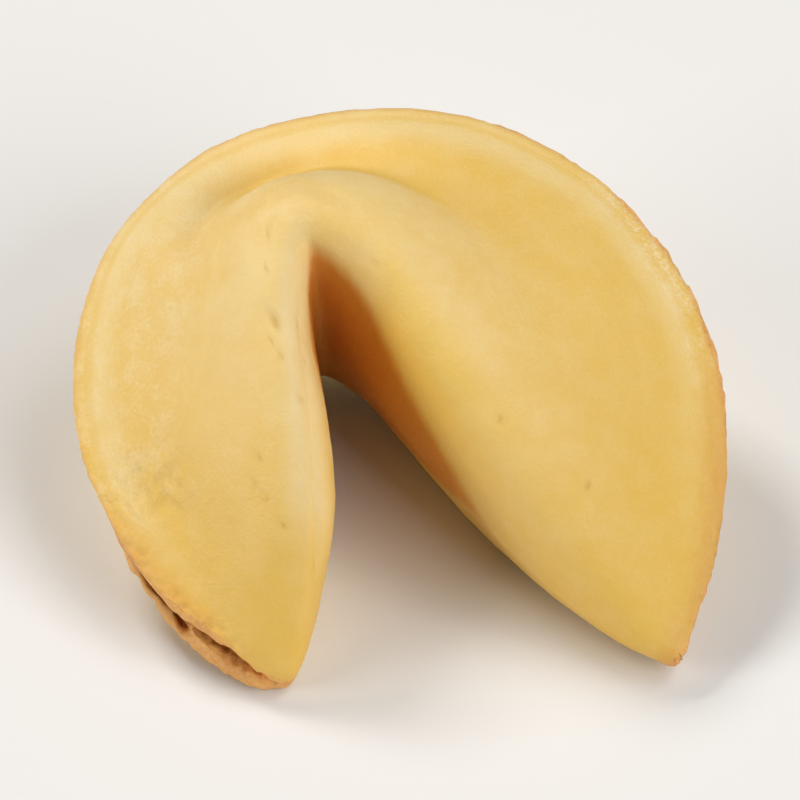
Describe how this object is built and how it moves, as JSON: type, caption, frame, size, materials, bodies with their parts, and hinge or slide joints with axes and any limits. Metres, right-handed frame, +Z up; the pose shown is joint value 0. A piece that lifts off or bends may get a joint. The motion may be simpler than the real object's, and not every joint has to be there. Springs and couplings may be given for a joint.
{
  "type": "fortune cookie",
  "caption": "Folded fortune cookie: a round baked wafer folded in half and bent over an edge, with horns, a notch between them and a hollow pocket.",
  "frame": {"origin": "on the surface the cookie lies on, under the middle of its bounding box", "axes": "+X across the cookie towards the longer horn, -Y out of the notch towards the tips of the horns, +Z up"},
  "size_m": [0.065, 0.0566, 0.0361],
  "materials": {
    "baked_wafer": "matt baked crust, pale gold, browned at the rim"
  },
  "bodies": {
    "root": {"cookie": "baked_wafer"}
  },
  "joints": []
}
